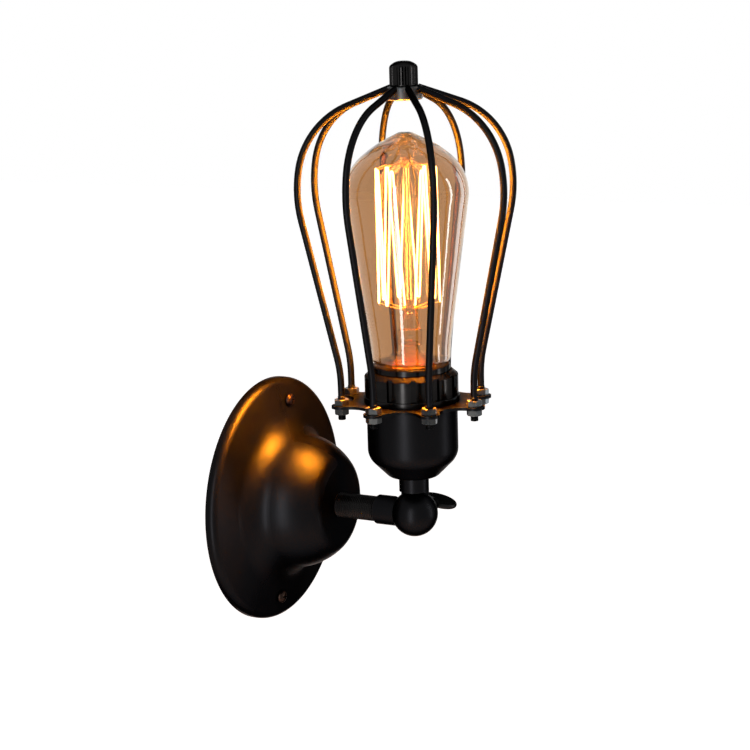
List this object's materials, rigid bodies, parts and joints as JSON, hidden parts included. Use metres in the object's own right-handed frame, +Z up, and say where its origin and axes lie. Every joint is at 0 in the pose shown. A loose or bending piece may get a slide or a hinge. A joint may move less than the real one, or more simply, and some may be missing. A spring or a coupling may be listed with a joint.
{
  "type": "cage wall light",
  "caption": "Wall light with a swivel head, a wire cage round a long pear-shaped filament bulb, a spun cup and a domed round wall plate.",
  "frame": {"origin": "centre of the wall plate back, on the wall plane", "axes": "+Z up, +Y into the wall, the light stands out towards -Y, X along the wall"},
  "size_m": [0.13, 0.144, 0.2969],
  "materials": {
    "satin_black_paint": "satin",
    "black_threaded_steel": "satin",
    "blackened_screw": "satin",
    "zinc_steel": "zinc plated",
    "nylon": "matte",
    "brass": "bright",
    "black_bakelite": "glossy",
    "amber_glass": "clear",
    "clear_glass": "clear",
    "bulb_cap_metal": "satin",
    "black_vitrite": "glossy",
    "glowing_filament": "lit",
    "support_wire": "bare",
    "basing_cement": "matte, lit by the filament"
  },
  "bodies": {
    "wall_base": {"wall_strap": "zinc_steel", "canopy": "satin_black_paint", "canopy_screws": "blackened_screw", "earth_screw": "zinc_steel", "terminal_block": "nylon", "terminal_sleeves": "brass", "arm_tube": "black_threaded_steel", "arm_weld_nut": "zinc_steel", "arm_washer": "zinc_steel", "arm_lock_nut": "zinc_steel", "knuckle_arm_half": "satin_black_paint"},
    "thumb_key_body": {"thumb_key": "black_threaded_steel", "key_washer": "zinc_steel"},
    "lamp_head": {"knuckle_head_half": "satin_black_paint", "head_nipple": "zinc_steel", "nipple_washer": "zinc_steel", "nipple_nut": "zinc_steel", "socket_cup": "satin_black_paint", "holder_cap": "black_bakelite", "holder_insert": "black_bakelite", "holder_clamps": "brass", "holder_skirt": "black_bakelite", "screw_shell": "brass", "centre_contact": "brass", "cage_plate": "satin_black_paint", "upper_nuts": "zinc_steel", "lower_nuts": "zinc_steel", "cage_hub": "zinc_steel", "cage_wire_1": "satin_black_paint", "cage_wire_2": "satin_black_paint", "cage_wire_3": "satin_black_paint", "cage_wire_4": "satin_black_paint", "cage_wire_5": "satin_black_paint", "cage_wire_6": "satin_black_paint", "cage_wire_7": "satin_black_paint", "cage_wire_8": "satin_black_paint"},
    "shade_ring_body": {"shade_ring": "black_bakelite"},
    "cage_knob_body": {"cage_knob": "black_threaded_steel"},
    "bulb": {"bulb_glass": "amber_glass", "bulb_cap": "bulb_cap_metal", "bulb_insulator": "black_vitrite", "bulb_contact": "bulb_cap_metal", "bulb_stem": "clear_glass", "filament": "glowing_filament", "filament_supports": "support_wire", "lead_wires": "support_wire", "basing_cement": "basing_cement"}
  },
  "joints": [
    {"name": "head_tilt", "type": "hinge", "parent": "wall_base", "child": "lamp_head", "pos_m": [0, -0.0867, 0], "axis": [1, 0, 0], "range_deg": [-8, 188]},
    {"name": "thumb_key_turn", "type": "hinge", "parent": "wall_base", "child": "thumb_key_body", "pos_m": [0, -0.0867, 0], "axis": [1, 0, 0], "range_deg": [0, 360]},
    {"name": "shade_ring_turn", "type": "hinge", "parent": "lamp_head", "child": "shade_ring_body", "pos_m": [0, -0.0867, 0.068], "axis": [0, 0, 1], "range_deg": [0, 360]},
    {"name": "cage_knob_turn", "type": "hinge", "parent": "lamp_head", "child": "cage_knob_body", "pos_m": [0, -0.0867, 0.226], "axis": [0, 0, 1], "range_deg": [0, 360]},
    {"name": "bulb_turn", "type": "hinge", "parent": "lamp_head", "child": "bulb", "pos_m": [0, -0.0867, 0.12], "axis": [0, 0, 1], "range_deg": [0, 360]}
  ]
}
